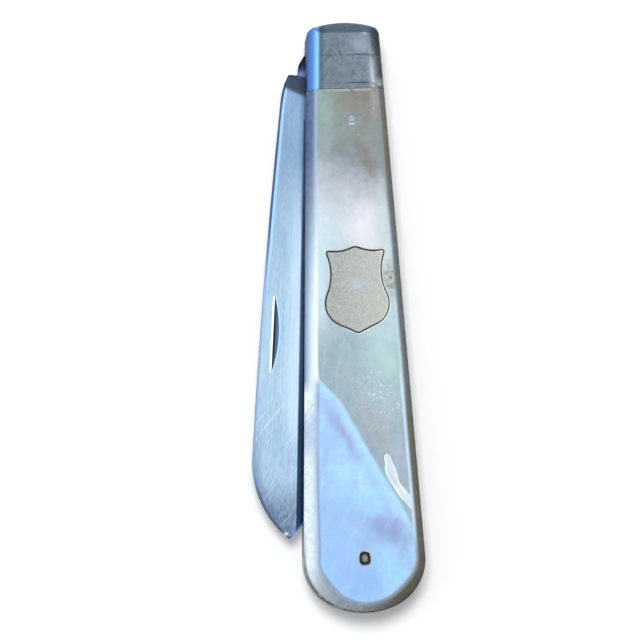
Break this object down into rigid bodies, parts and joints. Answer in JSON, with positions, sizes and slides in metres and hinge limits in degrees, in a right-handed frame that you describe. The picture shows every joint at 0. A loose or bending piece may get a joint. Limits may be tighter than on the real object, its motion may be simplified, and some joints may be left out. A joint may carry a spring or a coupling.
{
  "type": "folding pocket knife",
  "caption": "Small slip joint folding fruit knife with pearl scales, metal bolsters, an inlaid shield and a spear point blade with a nail nick.",
  "frame": {"origin": "middle of the rear face, on the handle's centre line, half way along the handle; the knife lies on this face", "axes": "+X across the handle towards the back spring, +Y along it towards the bolsters, +Z out of the front face with the shield"},
  "size_m": [0.0214, 0.076, 0.007],
  "materials": {
    "blade_metal": "worn satin silver with fine scratches",
    "spring_steel": "dull satin",
    "liner_metal": "tarnished nickel silver",
    "bolster_metal": "mottled worn silver",
    "front_pearl": "polished mother of pearl",
    "rear_pearl": "polished mother of pearl",
    "shield_metal": "warm grey satin",
    "rivet_metal": "warm grey satin",
    "pin_metal": "polished by wear"
  },
  "bodies": {
    "handle": {"back_spring": "spring_steel", "front_liner": "liner_metal", "rear_liner": "liner_metal", "front_bolster": "bolster_metal", "rear_bolster": "bolster_metal", "front_scale": "front_pearl", "rear_scale": "rear_pearl", "shield": "shield_metal", "shield_rivet": "rivet_metal", "pivot_pin": "bolster_metal", "spring_pin": "pin_metal", "butt_pin": "pin_metal", "front_scale_pin": "pin_metal", "rear_scale_pin": "pin_metal"},
    "blade": {"blade": "blade_metal"}
  },
  "joints": [
    {"name": "blade_fold", "type": "hinge", "parent": "handle", "child": "blade", "pos_m": [-0.00145, 0.03095, 0.0035], "axis": [0, 0, -1], "range_deg": [-5, 175]}
  ]
}
